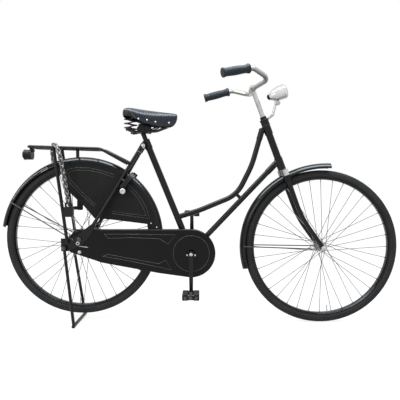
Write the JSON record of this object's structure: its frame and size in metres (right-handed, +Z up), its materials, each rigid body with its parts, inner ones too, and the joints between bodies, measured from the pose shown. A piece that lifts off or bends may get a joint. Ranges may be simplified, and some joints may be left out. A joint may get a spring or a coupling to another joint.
{
  "type": "city bicycle",
  "caption": "Black step-through city bicycle with a looped frame, closed chaincase, coat guards, carrier and rear stand, parked on its stand.",
  "frame": {"origin": "on the floor, under the middle of the bicycle's length, in the middle plane of the frame", "axes": "+X forward towards the front wheel, +Y to the rider's left, +Z up"},
  "size_m": [1.8368, 0.4597, 1.1485],
  "materials": {
    "black_paint": "gloss",
    "steel": "satin",
    "tyre": "matt",
    "rubber": "matt",
    "chrome": "polished",
    "clear_glass": "polished",
    "red_lens": "gloss",
    "leather": "satin",
    "grey_plastic": "matt",
    "black_plastic": "satin",
    "black_cloth": "satin"
  },
  "bodies": {
    "frame": {"bottom_bracket_shell": "black_paint", "seat_tube": "black_paint", "head_tube": "black_paint", "loop_tube": "black_paint", "down_tube": "black_paint", "seat_stay_right": "black_paint", "seat_stay_left": "black_paint", "chain_stay_left": "black_paint", "chaincase": "black_cloth", "rear_axle": "steel", "rear_mudguard": "black_paint", "rear_mudguard_stays": "black_paint", "coat_guard_right": "black_cloth", "coat_guard_left": "black_cloth", "carrier": "black_paint", "carrier_struts": "black_paint", "tail_lamp": "black_plastic", "tail_lamp_lens": "red_lens", "ring_lock": "black_plastic", "lock_chain": "steel", "padlock": "grey_plastic", "seat_post": "black_paint", "saddle_frame": "black_paint", "saddle_springs": "black_paint", "saddle_cover": "leather"},
    "steering": {"fork": "black_paint", "fork_crown": "chrome", "headset_nut": "black_paint", "front_mudguard": "black_paint", "front_mudguard_stays": "black_paint", "front_axle": "steel", "stem": "chrome", "handlebar": "chrome", "grip_left": "rubber", "grip_right": "rubber", "headlamp": "chrome", "headlamp_lens": "clear_glass", "headlamp_bracket": "chrome"},
    "front_wheel": {"front_tyre": "tyre", "front_rim": "black_paint", "front_spokes": "steel", "front_hub": "steel"},
    "rear_wheel": {"rear_tyre": "tyre", "rear_rim": "black_paint", "rear_spokes": "steel", "rear_hub": "steel"},
    "crank": {"crank_right": "black_paint", "crank_left": "black_paint"},
    "pedal_right_body": {"pedal_right": "black_paint", "pedal_right_blocks": "rubber"},
    "pedal_left_body": {"pedal_left": "black_paint", "pedal_left_blocks": "rubber"},
    "stand_body": {"stand": "black_paint"}
  },
  "joints": [
    {"name": "steering", "type": "hinge", "parent": "frame", "child": "steering", "pos_m": [0.353, 0, 0.803], "axis": [-0.3502, 0, 0.9367], "range_deg": [-60, 60]},
    {"name": "front_wheel_spin", "type": "hinge", "parent": "steering", "child": "front_wheel", "pos_m": [0.567, 0, 0.355], "axis": [0, 1, 0], "continuous": true},
    {"name": "rear_wheel_spin", "type": "hinge", "parent": "frame", "child": "rear_wheel", "pos_m": [-0.543, 0, 0.396], "axis": [0, 1, 0], "continuous": true},
    {"name": "crank_spin", "type": "hinge", "parent": "frame", "child": "crank", "pos_m": [-0.035, 0, 0.33], "axis": [0, 1, 0], "continuous": true},
    {"name": "pedal_right_spin", "type": "hinge", "parent": "crank", "child": "pedal_right_body", "pos_m": [-0.035, -0.145, 0.16], "axis": [0, 1, 0], "continuous": true},
    {"name": "pedal_left_spin", "type": "hinge", "parent": "crank", "child": "pedal_left_body", "pos_m": [-0.035, 0.145, 0.5], "axis": [0, 1, 0], "continuous": true},
    {"name": "stand_fold", "type": "hinge", "parent": "frame", "child": "stand_body", "pos_m": [-0.61, 0, 0.357], "axis": [0, 1, 0], "range_deg": [0, 98]}
  ]
}
